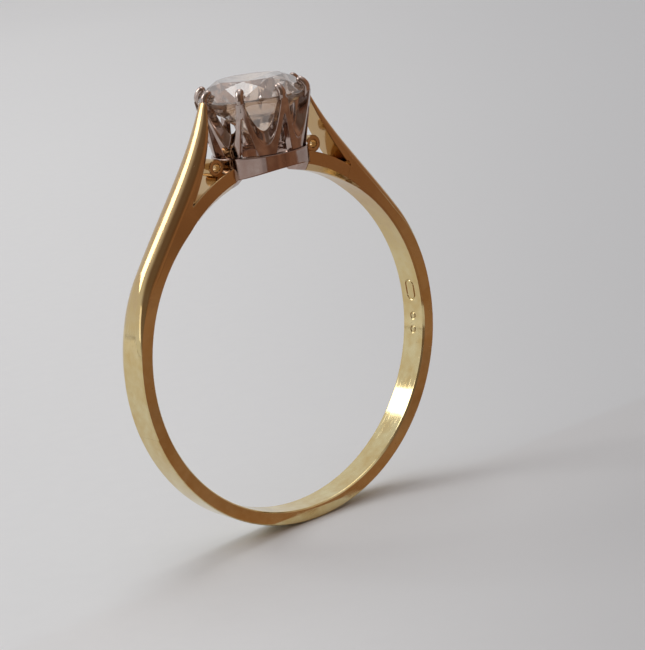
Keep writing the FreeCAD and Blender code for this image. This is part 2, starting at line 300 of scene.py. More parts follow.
def cutStone(name):
    material, sheet = newMaterial(name)
    place = sheet.node("ShaderNodeTexCoord", {}, {}, "Object")
    place = sheet.node("ShaderNodeVectorMath", {"operation": "SCALE"}, {0: place, "Scale": 1 / mm})
    reflectionNoise = sheet.node("ShaderNodeTexNoise", {}, {"Vector": place, "Scale": 1.1, "Detail": 4.0})
    # painted reflection: a warm colour, varied by noise, laid on the clear stone
    paintedReflection = sheet.node("ShaderNodeMix", {"data_type": "RGBA"}, {
        "Factor": reflectionNoise, 6: stoneLook["soft"], 7: stoneLook["pale"]}, 2)
    height = sheet.node("ShaderNodeSeparateXYZ", {}, {"Vector": place}, 2)
    # painted reflection: tan below the girdle, where the pavilion mirrors the warm room
    below = sheet.node("ShaderNodeMapRange", {"clamp": True}, {
        "Value": height, "From Min": girdleZ + stoneLook["belowFrom"],
        "From Max": girdleZ + stoneLook["belowTo"],
        "To Min": 0.0, "To Max": 1.0})
    paintedReflection = sheet.node("ShaderNodeMix", {"data_type": "RGBA"}, {
        "Factor": below, 6: paintedReflection, 7: stoneLook["below"]}, 2)
    surface = sheet.node("ShaderNodeBsdfPrincipled", {}, {
        "Base Color": paintedReflection, "Roughness": reflectionNoise * 0.02, "IOR": stoneLook["index"],
        "Transmission Weight": stoneLook["clear"]})
    sheet.node("ShaderNodeOutputMaterial", {}, {"Surface": surface})
    return material


floorLook = {
    # painted shade: the paper is painted darker towards the right of the camera's view, about the point under
    # the camera
    "paper": (0.75, 0.775, 0.795, 1), "paler": (0.81, 0.835, 0.85, 1), "shaded": (0.585, 0.605, 0.625, 1),
    "under": (-0.0586, -0.0785, 0.0), "right": (0.801, -0.598, 0.0), "from": -0.13, "to": 0.25,
    "roughness": 0.6, "specular": 0.12,
}


def studioFloor(name):
    material, sheet = newMaterial(name)
    place = sheet.node("ShaderNodeTexCoord", {}, {}, "Object")
    grain = sheet.node("ShaderNodeTexNoise", {}, {"Vector": place, "Scale": 900.0, "Detail": 4.0})
    broad = sheet.node("ShaderNodeTexNoise", {}, {"Vector": place, "Scale": 9.0, "Detail": 2.0})
    tone = sheet.node("ShaderNodeMix", {"data_type": "RGBA"}, {
        "Factor": grain * 0.4 + broad * 0.6, 6: floorLook["paper"], 7: floorLook["paler"]}, 2)
    foot = sheet.node("ShaderNodeVectorMath", {"operation": "SUBTRACT"}, {
        0: place, 1: floorLook["under"]})
    foot = sheet.node("ShaderNodeVectorMath", {"operation": "NORMALIZE"}, {0: foot})
    aside = sheet.node("ShaderNodeVectorMath", {"operation": "DOT_PRODUCT"}, {
        0: foot, 1: floorLook["right"]}, "Value")
    # painted shade: darker paper towards the right of the view
    shade = sheet.node("ShaderNodeMapRange", {"clamp": True, "interpolation_type": "SMOOTHSTEP"}, {
        "Value": aside, "From Min": floorLook["from"], "From Max": floorLook["to"],
        "To Min": 0.0, "To Max": 1.0})
    tone = sheet.node("ShaderNodeMix", {"data_type": "RGBA"}, {
        "Factor": shade, 6: tone, 7: floorLook["shaded"]}, 2)
    surface = sheet.node("ShaderNodeBsdfPrincipled", {}, {
        "Base Color": tone, "Roughness": floorLook["roughness"],
        "Specular IOR Level": floorLook["specular"]})
    sheet.node("ShaderNodeOutputMaterial", {}, {"Surface": surface})
    return material


yellowGold = polishedMetal("yellowGold", goldLook)
whiteGold = polishedMetal("whiteGold", whiteLook)
diamond = cutStone("diamond")
print("materials made")


# ---- meshes and pieces

def skin(sections, closedPath=False):
    # quads between equal rings of points, with an end face at each end of an open path
    count = len(sections[0])
    points = [point for section in sections for point in section]
    faces = []
    rows = len(sections) if closedPath else len(sections) - 1
    for row in range(rows):
        here = row * count
        there = (row + 1) % len(sections) * count
        for column in range(count):
            after = (column + 1) % count
            faces.append((here + column, here + after, there + after, there + column))
    if not closedPath:
        faces.append(tuple(range(count)))
        faces.append(tuple(range(len(points) - count, len(points))))
    return points, faces


def settle(mesh, crease):
    # merge, turn every face outwards and mark the real corners sharp
    build = bmesh.new()
    build.from_mesh(mesh)
    bmesh.ops.remove_doubles(build, verts=build.verts, dist=1e-8)
    bmesh.ops.dissolve_degenerate(build, edges=build.edges, dist=1e-9)
    bmesh.ops.recalc_face_normals(build, faces=build.faces)
    build.to_mesh(mesh)
    build.free()
    mesh.shade_smooth()
    mesh.set_sharp_from_angle(angle=math.radians(crease))


def newObject(name, mesh):
    made = bpy.data.objects.new(name, mesh)
    bpy.context.scene.collection.objects.link(made)
    return made


def meshObject(name, points, faces, material, crease=38):
    mesh = bpy.data.meshes.new(name)
    mesh.from_pydata([point * mm for point in points], [], faces)
    mesh.materials.append(material)
    settle(mesh, crease)
    return newObject(name, mesh)


def addToRing(piece, node):
    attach(piece, "root")
    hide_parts(node)
    print(piece.name, "made,", len(piece.data.polygons), "faces")


def softCorners(corners, radius, steps=4):
    # a closed outline with each corner rounded, and a holding point on each side of it
    points = []
    for here, corner in enumerate(corners):
        back = corners[here - 1] - corner
        ahead = corners[(here + 1) % len(corners)] - corner
        reach = min(radius, back.length * 0.4, ahead.length * 0.4)
        start = corner + back.normalized() * reach
        end = corner + ahead.normalized() * reach
        hold = reach * 0.5
        points.append(start + back.normalized() * hold)
        for step in range(steps + 1):
            share = step / steps
            points.append(mix(mix(start, corner, share), mix(corner, end, share), share))
        points.append(end + ahead.normalized() * hold)
    return points


def halfTurn(points):
    # the same shape on the other side of the stone
    return [Vector((-point.x, -point.y, point.z)) for point in points]


# ---- geometry trees: a profile swept round an arc, and claws set round a wall

def newTree(name, inputs):
    # a tree with named inputs, and each input's identifier
    tree = bpy.data.node_groups.new(name, "GeometryNodeTree")
    tree.interface.new_socket(name="Geometry", in_out="OUTPUT", socket_type="NodeSocketGeometry")
    keys = {}
    for label, kind in inputs.items():
        made = tree.interface.new_socket(name=label, in_out="INPUT", socket_type=kind)
        keys[label] = made.identifier
    sheet = Sheet(tree)
    entry = tree.nodes.new("NodeGroupInput")
    wires = {label: Wire(sheet, entry.outputs[label]) for label in inputs}
    return sheet, wires, keys


def applyTree(piece, sheet, keys, values, crease):
    # runs a tree on a piece and keeps its plain mesh
    worker = piece.modifiers.new("build", "NODES")
    worker.node_group = sheet.tree
    for label, value in values.items():
        worker[keys[label]] = value
    bpy.context.view_layer.update()
    result = bpy.data.meshes.new_from_object(piece.evaluated_get(bpy.context.evaluated_depsgraph_get()))
    piece.modifiers.remove(worker)
    piece.data = result
    result.name = piece.name
    settle(result, crease)
    return piece


def makeHoopTree():
    sheet, wires, keys = newTree("profileRoundAnArc", {
        "Geometry": "NodeSocketGeometry", "Radius": "NodeSocketFloat", "Start": "NodeSocketFloat",
        "Sweep": "NodeSocketFloat", "Steps": "NodeSocketInt", "Centre": "NodeSocketVector",
        "Caps": "NodeSocketBool", "Material": "NodeSocketMaterial"})
    profile = sheet.node("GeometryNodeMeshToCurve", {}, {"Mesh": wires["Geometry"]})
    arc = sheet.node("GeometryNodeCurveArc", {"mode": "RADIUS"}, {
        "Resolution": wires["Steps"], "Radius": wires["Radius"],
        "Start Angle": wires["Start"], "Sweep Angle": wires["Sweep"]})
    swept = sheet.node("GeometryNodeCurveToMesh", {}, {
        "Curve": arc, "Profile Curve": profile, "Fill Caps": wires["Caps"]})
    joined = sheet.node("GeometryNodeMergeByDistance", {}, {"Geometry": swept, "Distance": 1e-8})
    placed = sheet.node("GeometryNodeTransform", {}, {
        "Geometry": joined, "Translation": wires["Centre"], "Rotation": (math.pi / 2, 0, 0)})
    whole = sheet.node("GeometryNodeRealizeInstances", {}, {"Geometry": placed})
    painted = sheet.node("GeometryNodeSetMaterial", {}, {"Geometry": whole, "Material": wires["Material"]})
    sheet.node("NodeGroupOutput", {}, {"Geometry": painted})
    return sheet, keys


def makeClawTree():
    sheet, wires, keys = newTree("clawsRoundAWall", {
        "Geometry": "NodeSocketGeometry", "Claw": "NodeSocketObject", "Stone": "NodeSocketObject",
        "Claws": "NodeSocketInt", "Pitch": "NodeSocketFloat", "Twist": "NodeSocketFloat",
        "Material": "NodeSocketMaterial"})
    claw = sheet.node("GeometryNodeObjectInfo", {}, {"Object": wires["Claw"]}, "Geometry")
    stone = sheet.node("GeometryNodeObjectInfo", {}, {"Object": wires["Stone"]}, "Geometry")
    spots = sheet.node("GeometryNodePoints", {}, {"Count": wires["Claws"]})
    number = sheet.node("GeometryNodeInputIndex")
    turn = sheet.node("ShaderNodeCombineXYZ", {}, {"Z": number * wires["Pitch"] + wires["Twist"]})
    copies = sheet.node("GeometryNodeInstanceOnPoints", {}, {
        "Points": spots, "Instance": claw, "Rotation": turn})
    copies = sheet.node("GeometryNodeRealizeInstances", {}, {"Geometry": copies})
    joined = sheet.node("GeometryNodeMeshBoolean", {"operation": "UNION", "solver": "MANIFOLD"}, {
        "Mesh 2": [wires["Geometry"], copies]})
    seated = sheet.node("GeometryNodeMeshBoolean", {"operation": "DIFFERENCE", "solver": "MANIFOLD"}, {
        "Mesh 1": joined, "Mesh 2": stone})
    whole = sheet.node("GeometryNodeRealizeInstances", {}, {"Geometry": seated})
    painted = sheet.node("GeometryNodeSetMaterial", {}, {"Geometry": whole, "Material": wires["Material"]})
    sheet.node("NodeGroupOutput", {}, {"Geometry": painted})
    return sheet, keys


def profileObject(name, outline):
    mesh = bpy.data.meshes.new(name)
    edges = [(here, (here + 1) % len(outline)) for here in range(len(outline))]
    mesh.from_pydata([point * mm for point in outline], edges, [])
    return newObject(name, mesh)


hoopTree = makeHoopTree()
clawTree = makeClawTree()


# ---- shank: the plain band round the lower part of the finger

shank = {"edgeSoftness": 0.03, "steps": 260}


def buildShank():
    half = hoop["bandHalf"]
    top = hoop["bandRadius"] - hoop["holeRadius"]
    corners = [
        Vector((0, -hoop["straightHalf"], 0)),
        Vector((hoop["edgeBreak"], -half, 0)),
        Vector((top - hoop["edgeBreak"] / 2, -half, 0)),
        Vector((top, -hoop["flatHalf"], 0)),
        Vector((top, hoop["flatHalf"], 0)),
        Vector((top - hoop["edgeBreak"] / 2, half, 0)),
        Vector((hoop["edgeBreak"], half, 0)),
        Vector((0, hoop["straightHalf"], 0)),
    ]
    piece = profileObject("shankBand", softCorners(corners, shank["edgeSoftness"]))
    sheet, keys = hoopTree
    applyTree(piece, sheet, keys, {
        "Radius": hoop["holeRadius"] * mm, "Start": math.radians(180 - hoop["jointAngle"]),
        "Sweep": math.radians(180 + 2 * hoop["jointAngle"]), "Steps": shank["steps"],
        "Caps": True, "Material": yellowGold}, 60)
    addToRing(piece, "shank")


buildShank()


# ---- shoulders: band below, a filed strut above, with the opening between strut and rail

shoulder = {
    "flatStart": 0.0, "crestRise": 0.30, "crestSag": 0.17, "flatTaper": 0.8, "ridgeHalf": 0.03,
    "domeHeight": 0.53, "domeRatio": 0.70, "edgeShare": 0.9,
    "rootThickness": 0.80, "tipThickness": 0.15, "thinning": 1.5, "tipHalf": 0.28, "taper": 5.0,
    "topDrop": 0.55, "easeProbes": 80,
    "railThickness": 0.80, "railHalf": 0.79, "railAngle": 57.5, "openingEnd": 0.07,
    "underEase": 0.035, "domeSteps": 14, "tipBite": 0.06,
}
punches = {
    "depth": 0.05, "line": 0.07, "ovalAngle": 3.6, "ovalLength": 1.10, "ovalWidth": 0.62,
    "dotAngles": (-5.8, -10.6), "dotRadius": 0.20, "zone": (-12.6, 8.4), "softness": 0.02,
}
crestRadius = hoop["bandRadius"] + shoulder["crestRise"]
railRadius = hoop["holeRadius"] + shoulder["railThickness"]
railArc = (polar(shoulder["railAngle"], railRadius) - Vector((0, 0, hoop["topCentre"]))).length
strutTopZ = clawTopZ - shoulder["topDrop"]
strutTop = Vector((coneRadius(strutTopZ), 0, strutTopZ))
tipShift = strutTop.x * math.sin(twist)
tangentAngle = math.degrees(
    math.atan2(strutTop.z, strutTop.x) - math.acos(crestRadius / strutTop.length))
sweepStart = polar(tangentAngle, crestRadius)
sweepLine = strutTop - sweepStart
sweepOut = polar(tangentAngle, 1.0)


def sweepPoint(share):
    # from the band to the claw, sagging most two thirds of the way along
    sag = shoulder["crestSag"] * share * share * (1 - share) * 27 / 4
    return sweepStart + sweepLine * share - sweepOut * sag


def angleOf(point):
    return math.degrees(math.atan2(point.z, point.x))


def shareAt(angle):
    low, high = 0.0, 1.0
    for halving in range(40):
        middle = (low + high) / 2
        if angleOf(sweepPoint(middle)) < angle:
            low = middle
        else:
            high = middle
    return low


forkShare = shareAt(shoulder["railAngle"])


def underside(share):
    done = clamp((share - forkShare) / (1 - forkShare), 0, 2) ** shoulder["thinning"]
    return sweepPoint(share) - sweepOut * mix(shoulder["rootThickness"], shoulder["tipThickness"], done)


def holeEase(angle):
    # how deep and how wide the hole's edge is eased at the band's side
    turn = math.radians(angle)
    depth = holeRadiusAt(hoop["bandHalf"], turn) - hoop["holeRadius"]
    probes = shoulder["easeProbes"]
    wide = [y for y in spaced(0.0, hoop["bandHalf"], probes)
            if holeRadiusAt(y, turn) > hoop["holeRadius"] + 1e-6]
    return (depth, hoop["bandHalf"] - wide[0] + hoop["bandHalf"] / (2 * probes))


def bandStation(angle):
    done = clamp((angle - shoulder["flatStart"]) / (tangentAngle - shoulder["flatStart"]))
    return {
        "crest": polar(angle, hoop["bandRadius"] + shoulder["crestRise"] * easeIn(done)),
        "out": polar(angle, 1.0),
        "half": hoop["bandHalf"],
        "flat": max(shoulder["ridgeHalf"], hoop["flatHalf"] * (1 - done) ** shoulder["flatTaper"]),
        "dome": mix(hoop["edgeBreak"] / 2, shoulder["domeHeight"], done ** 2),
        "round": done,
        "inner": polar(angle, hoop["holeRadius"]),
        "angle": angle,
        "ease": holeEase(angle),
        "shift": 0.0,
    }


def sweepStation(share, inner, wide=None):
    along = sweepPoint(share + 0.01) - sweepPoint(share - 0.01)
    half = mix(hoop["bandHalf"], shoulder["tipHalf"], share ** shoulder["taper"])
    thickness = (sweepPoint(share) - underside(share)).length
    return {
        "crest": sweepPoint(share),
        "out": Vector((along.z, 0, -along.x)).normalized(),
        "half": half,
        "flat": shoulder["ridgeHalf"],
        "dome": min(shoulder["domeHeight"], shoulder["domeRatio"] * half,
                    shoulder["edgeShare"] * thickness),
        "round": 1.0,
        "inner": inner,
        "angle": None,
        "ease": wide or (shoulder["underEase"], shoulder["underEase"]),
        "shift": tipShift * share ** shoulder["taper"],
    }


def punchDepth(angle, y):
    # how deep the letterless marks are pressed at this place inside the band
    if angle is None or not punches["zone"][0] < angle < punches["zone"][1]:
        return 0.0
    ovalRadius = (punches["ovalWidth"] - punches["line"]) / 2
    straight = (punches["ovalLength"] - punches["ovalWidth"]) / 2
    along = math.radians(angle - punches["ovalAngle"]) * hoop["holeRadius"]
    gaps = [abs(math.hypot(max(abs(along) - straight, 0), y) - ovalRadius)]
    for dotAngle in punches["dotAngles"]:
        along = math.radians(angle - dotAngle) * hoop["holeRadius"]
        gaps.append(abs(math.hypot(along, y) - punches["dotRadius"] + punches["line"] / 2))
    edge = punches["line"] / 2
    return punches["depth"] * easeIn((edge + punches["softness"] - min(gaps)) / (2 * punches["softness"]))


def halfSection(station, innerSteps, punched):
    # from the top of the crest down one side and under, for y of zero and above
    flat, half, dome = station["flat"], station["half"], station["dome"]
    crest, out, inner = station["crest"], station["out"], station["inner"]
    points = [(crest, 0.0)]
    for share in (0.5, 0.85, 0.97):
        points.append((crest, flat * share))
    for share in [0.0, 0.03] + spaced(0.08, 0.96, shoulder["domeSteps"]) + [0.985, 1.0]:
        turn = share * math.pi / 2
        outward = mix(share, math.sin(turn), station["round"])
        downward = mix(share, 1 - math.cos(turn), station["round"])
        points.append((crest - out * (dome * downward), mix(flat, half, outward)))
    shoulderPoint = crest - out * dome
    down = inner - shoulderPoint
    depth, width = station["ease"]
    easeShare = 1 - clamp(depth / down.length, 0, 0.45)
    for share in [0.04] + spaced(0.15, 0.9, 5) + [0.97]:
        points.append((shoulderPoint + down * (easeShare * share), half))
    width = min(width, half * 0.45)
    for share in (0.0, 0.06, 0.35, 0.65, 0.94, 1.0):
        points.append((shoulderPoint + down * mix(easeShare, 1.0, share), half - width * share))
    innerHalf = half - width
    radial = inner.normalized()
    for step in range(innerSteps):
        y = innerHalf * (1 - (step + 0.35) / innerSteps) if step < innerSteps - 1 else 0.0
        points.append((inner, y))
    return [
        point + across * y + (radial * punchDepth(station["angle"], y) if punched and row > 30 else Vector())
        for row, (point, y) in enumerate(points)]


def wholeSection(station, innerSteps, punched):
    right = halfSection(station, innerSteps, punched)
    left = [Vector((point.x, -point.y, point.z)) for point in right[1:-1]]
    shifted = across * station["shift"]
    return [point + shifted for point in right + left[::-1]]


def openingEndPoints():
    # round the end of the opening, from the rail's top to the strut's underside
    fork = underside(forkShare)
    radius = shoulder["openingEnd"]
    start = angleOf(fork) - 90
    end = angleOf(underside(forkShare + 0.012) - fork)
    return [fork + polar(mix(start, end, step / 7), radius) for step in range(8)]


def shoulderStations(punched):
    low, high = punches["zone"] if punched else (hoop["jointAngle"] + 3, 8.0)
    angles = spaced(hoop["jointAngle"], low, 5)
    angles += spaced(low, high, 140 if punched else 20)[1:]
    angles += spaced(high, tangentAngle, 32)[1:]
    stations = [bandStation(angle) for angle in angles]
    for share in spaced(0.0, forkShare, 36)[1:]:
        angle = angleOf(sweepPoint(share))
        inner = polar(angle, hoop["holeRadius"])
        stations.append(sweepStation(share, inner, holeEase(angle)))
    joint = shoulder["railAngle"]
    corner = [polar(joint, mix(hoop["holeRadius"], railRadius, share)) for share in (0.5, 1.0)]
    corner += openingEndPoints()
    fanEnd = forkShare + 0.07
    for number, inner in enumerate(corner):
        share = mix(forkShare, fanEnd, (number + 1) / len(corner))
        stations.append(sweepStation(share, inner))
    underStart = forkShare + 0.013
    for step in range(1, 40):
        share = mix(fanEnd, 0.965, step / 39)
        stations.append(sweepStation(share, underside(mix(underStart, 0.965, step / 39))))
    return stations


def ontoCone(point, run):
    # slides a point along the strut until it meets the crown
    for step in range(12):
        gap = math.hypot(point.x, point.y) - (coneRadius(point.z) - shoulder["tipBite"])
        point = point + run * (gap / 0.9)
    return point


def buildShoulder(name, node, punched, opposite):
    innerSteps = 38 if punched else 8
    sections = [wholeSection(station, innerSteps, punched) for station in shoulderStations(punched)]
    run = (sweepPoint(1.0) - sweepPoint(0.95)).normalized()
    last = wholeSection(sweepStation(0.99, underside(0.99)), innerSteps, False)
    sections.append([ontoCone(point, run) for point in last])
    points, faces = skin(sections)
    if opposite:
        points = halfTurn(points)
    piece = meshObject(name, points, faces, yellowGold, 60)
    addToRing(piece, node)


buildShoulder("shoulderRight", "shoulder_right", True, False)
buildShoulder("shoulderLeft", "shoulder_left", False, True)


# ---- rails: the lower arms, from the shoulders to the base ring

rail = {"edge": 0.07, "steps": 60, "faceSteps": 6, "easeSteps": 14}


def railSection(share):
    # one side from the middle of the top, out over the edge, down the face and in under it
    edge, half = rail["edge"], shoulder["railHalf"]
    places = [(0.0, 0.0), (half * 0.5, 0.0), (half - 1.5 * edge, 0.0)]
    places += [(half - edge * (1 - math.sin(a)), edge * (1 - math.cos(a))) for a in spaced(0, math.pi / 2, 5)]
    start = math.radians(shoulder["railAngle"])

    def place(y, radiusOf):
        turn = math.radians(70)
        for step in range(6):
            turn = math.acos(math.sqrt(setting["ringRadius"] ** 2 - y * y) / radiusOf(turn))
        turn = mix(start, turn, share)
        radius = radiusOf(turn)
        return Vector((radius * math.cos(turn), y, radius * math.sin(turn)))

    side = [place(y, lambda turn, drop=drop: aboutTop(turn, railArc) - drop) for y, drop in places]
    low = place(half, lambda turn: holeRadiusAt(half, turn))
    side += [mix(side[-1], low, step) for step in [0.06] + spaced(0.2, 0.9, rail["faceSteps"]) + [0.97]]
    for y in [half, half * 0.99] + spaced(half * 0.96, half * 0.04, rail["easeSteps"]) + [0.0]:
        side.append(place(y, lambda turn, y=y: holeRadiusAt(y, turn)))
    other = [Vector((point.x, -point.y, point.z)) for point in side[1:-1]]
    return side + other[::-1]


def buildRail(name, node, opposite):
    points, faces = skin([railSection(share) for share in spaced(0, 1, rail["steps"])])
    if opposite:
        points = halfTurn(points)
    addToRing(meshObject(name, points, faces, yellowGold, 40), node)


buildRail("railRight", "rail_right", False)
buildRail("railLeft", "rail_left", True)


# ---- scrolls: a small rolled tube in each opening, resting on the rail

scroll = {"angle": 72.2, "radius": 0.42, "bore": 0.20, "length": 0.90, "seat": 0.04, "edge": 0.06}


def buildScroll(name, node, side):
    wall = scroll["radius"] - scroll["bore"]
    half = scroll["length"] / 2
    corners = [Vector((0, -half, 0)), Vector((wall, -half, 0)), Vector((wall, half, 0)), Vector((0, half, 0))]
    piece = profileObject(name, softCorners(corners, scroll["edge"], 5))
    reach = railArc + scroll["radius"] - scroll["seat"]
    middle = polar(scroll["angle"], aboutTop(math.radians(scroll["angle"]), reach))
    sheet, keys = hoopTree
    applyTree(piece, sheet, keys, {
        "Radius": scroll["bore"] * mm, "Start": 0.0, "Sweep": 2 * math.pi, "Steps": 65,
        "Centre": (side * middle.x * mm, 0, middle.z * mm), "Caps": False, "Material": yellowGold}, 50)
    addToRing(piece, node)


buildScroll("scrollRight", "scroll_right", 1)
buildScroll("scrollLeft", "scroll_left", -1)


# ---- base ring: a white metal collar whose foot follows the finger hole

baseRing = {"edge": 0.05, "columns": 180}


def buildBaseRing():
    outer = setting["ringRadius"]
    inner = outer - setting["ringWall"]
    top = setting["ledgeZ"]
    edge = baseRing["edge"]
    sections = []
    for column in range(baseRing["columns"]):
        turn = 2 * math.pi * column / baseRing["columns"]

        def foot(radius):
            x, y = radius * math.cos(turn), abs(radius * math.sin(turn))
            eased = hoop["topCentre"] + math.sqrt(stepped(y, topSteps) ** 2 - x * x)
            return max(eased, math.sqrt(stepped(y, bandSteps) ** 2 - x * x))

        profile = [(inner, z) for z in spaced(top - edge, foot(inner) + edge, 4)]
        profile += [(radius, foot(radius)) for radius in spaced(inner + edge, outer - edge, 8)]
        profile += [(outer - edge * 0.3, foot(outer) + edge * 0.3)]
        profile += [(outer, z) for z in [foot(outer) + edge, foot(outer) + 1.5 * edge]]
        profile += [(outer, z) for z in spaced(foot(outer) + 2 * edge, top - 1.6 * edge, 5)]
        profile += [(outer - edge * (1 - math.cos(a)), top - edge * (1 - math.sin(a)))
                    for a in spaced(0, math.pi / 2, 5)]
        profile += [(radius, top) for radius in spaced(outer - 1.6 * edge, inner + edge, 5)]
        sections.append([
            Vector((radius * math.cos(turn), radius * math.sin(turn), z)) for radius, z in profile])
    points, faces = skin(sections, True)
    addToRing(meshObject("baseRing", points, faces, whiteGold, 50), "base_ring")


buildBaseRing()


# ---- stone: a round brilliant, cut facet by facet from a round blank

stone = {
    "tableRatio": 0.62, "crownHeight": 0.80, "pavilionDepth": 2.15, "lowerRatio": 0.24, "girdle": 0.06,
    "blankSides": 128, "blankDepth": 8.0, "cutDistance": 1e-5,
}


def ringOfCorners(radius, z, turnShare):
    corners = []
    for number in range(8):
        turn = math.pi / 4 * (number + turnShare) + twist
        corners.append(Vector((radius * math.cos(turn), radius * math.sin(turn), z)))
    return corners


def facetPlanes():
    radius = setting["stoneRadius"]
    cornerRadius = radius / math.cos(math.pi / 16)
    halfTurnShare = math.cos(math.pi / 8)
    edge = stone["girdle"] / 2
    tableRadius = radius * stone["tableRatio"]
    starRadius = (cornerRadius + tableRadius * halfTurnShare) / 2
    starShare = (cornerRadius - starRadius * halfTurnShare) / (cornerRadius - tableRadius)
    lowerRadius = radius * stone["lowerRatio"]
    lowerShare = 1 - lowerRadius * halfTurnShare / cornerRadius
    table = ringOfCorners(tableRadius, girdleZ + edge + stone["crownHeight"], 0)
    stars = ringOfCorners(starRadius, girdleZ + edge + stone["crownHeight"] * starShare, 0.5)
    top = ringOfCorners(cornerRadius, girdleZ + edge, 0)
    topHalf = ringOfCorners(cornerRadius, girdleZ + edge, 0.5)
    low = ringOfCorners(cornerRadius, girdleZ - edge, 0)
    lowHalf = ringOfCorners(cornerRadius, girdleZ - edge, 0.5)
    lowers = ringOfCorners(lowerRadius, girdleZ - edge - stone["pavilionDepth"] * lowerShare, 0.5)
    culet = Vector((0, 0, girdleZ - edge - stone["pavilionDepth"]))
    planes = [(table[0], table[1], table[2])]
    for here in range(8):
        after = (here + 1) % 8
        before = here - 1
        planes += [
            (table[here], table[after], stars[here]),
            (stars[here], top[here], stars[before]),
            (stars[here], top[here], topHalf[here]),
            (stars[here], topHalf[here], top[after]),
            (lowers[here], low[here], lowHalf[here]),
            (lowers[here], lowHalf[here], low[after]),
            (culet, lowers[before], lowers[here]),
        ]
    return planes


def cutBlank(grow):
    # a round blank with one flat cut for each facet, grown a little where it is a cutter
    blank = bmesh.new()
    bmesh.ops.create_cone(
        blank, cap_ends=True, segments=stone["blankSides"], radius1=setting["stoneRadius"] + grow,
        radius2=setting["stoneRadius"] + grow, depth=stone["blankDepth"],
        matrix=Matrix.Translation((0, 0, girdleZ)))
    middle = Vector((0, 0, girdleZ))
    for first, second, third in facetPlanes():
        normal = (second - first).cross(third - first).normalized()
        if normal.dot(first - middle) < 0:
            normal = -normal
        cut = bmesh.ops.bisect_plane(
            blank, geom=blank.verts[:] + blank.edges[:] + blank.faces[:], dist=stone["cutDistance"],
            plane_co=first + normal * grow, plane_no=normal, clear_outer=True)
        rim = [item for item in cut["geom_cut"]
               if isinstance(item, bmesh.types.BMEdge) and item.is_boundary]
        bmesh.ops.edgeloop_fill(blank, edges=rim)
        bmesh.ops.remove_doubles(blank, verts=blank.verts, dist=2 * stone["cutDistance"])
        bmesh.ops.dissolve_degenerate(blank, edges=blank.edges, dist=2 * stone["cutDistance"])
    bmesh.ops.recalc_face_normals(blank, faces=blank.faces)
    return blank


def stoneMesh(name, grow):
    blank = cutBlank(grow)
    bmesh.ops.scale(blank, vec=(mm, mm, mm), verts=blank.verts)
    mesh = bpy.data.meshes.new(name)
    blank.to_mesh(mesh)
    blank.free()
    return mesh


def buildStone():
    mesh = stoneMesh("brilliant", 0.0)
    mesh.materials.append(diamond)
    addToRing(newObject("brilliant", mesh), "stone")


buildStone()


# ---- crown: eight claws on a cone with V scallops above and arches below

crown = {
    "wall": 0.50, "scallopFoot": 0.16, "scallopHalf": 0.90, "scallopPower": 0.55,
    "lipFoot": 1.05, "lipHalf": 0.80, "archHeight": 1.85, "archHalf": 0.45, "archPoint": 0.04,
    "clawRadius": 0.20, "bendRadius": 0.45, "bendAngle": 72.0, "edge": 0.04, "columns": 60,
    "seatGap": 0.01,
}
wallTopZ = girdleZ - stone["girdle"]


def scallopZ(radius, offset):
    # the height of the scallop's cut at this radius, and angle from the scallop's middle
    x, y = radius * math.cos(offset), radius * math.sin(offset)
    lean = coneSlope * (girdleZ - setting["ledgeZ"] - crown["scallopFoot"]) / 2
    inner = coneRadius(girdleZ) - crown["wall"] - lean
    share = (x - inner) / crown["wall"]
    foot = setting["ledgeZ"] + mix(crown["lipFoot"], crown["scallopFoot"], share)
    half = mix(crown["lipHalf"], crown["scallopHalf"], share)
    return min(wallTopZ, foot + (girdleZ - foot) * (abs(y) / half) ** (1 / crown["scallopPower"]))


def archZ(radius, offset):
    # the height of the arch's cut, at this angle from the claw above it
    y = abs(radius * math.sin(offset))
    slope = crown["archHeight"] / (crown["archHalf"] - crown["archPoint"])
    rise = crown["archHeight"] - slope * max(0.0, y - crown["archPoint"])
    return setting["ledgeZ"] + max(0.0, rise)


def onWall(rule, offset, depth, z):
    # a rule's height where it meets the cone at this depth in the wall
    for step in range(12):
        z = rule(coneRadius(z) - depth, offset)
    return z


def edgeHeight(rule, offset, depth, start):
    # a rim's height, and how far down the wall its rounding reaches where the rim is steep
    z = onWall(rule, offset, depth, start)
    near = onWall(rule, offset + 0.004, depth, start)
    slope = (near - z) / (0.004 * coneRadius(z))
    return z, crown["edge"] * min(4.0, math.hypot(1, slope))


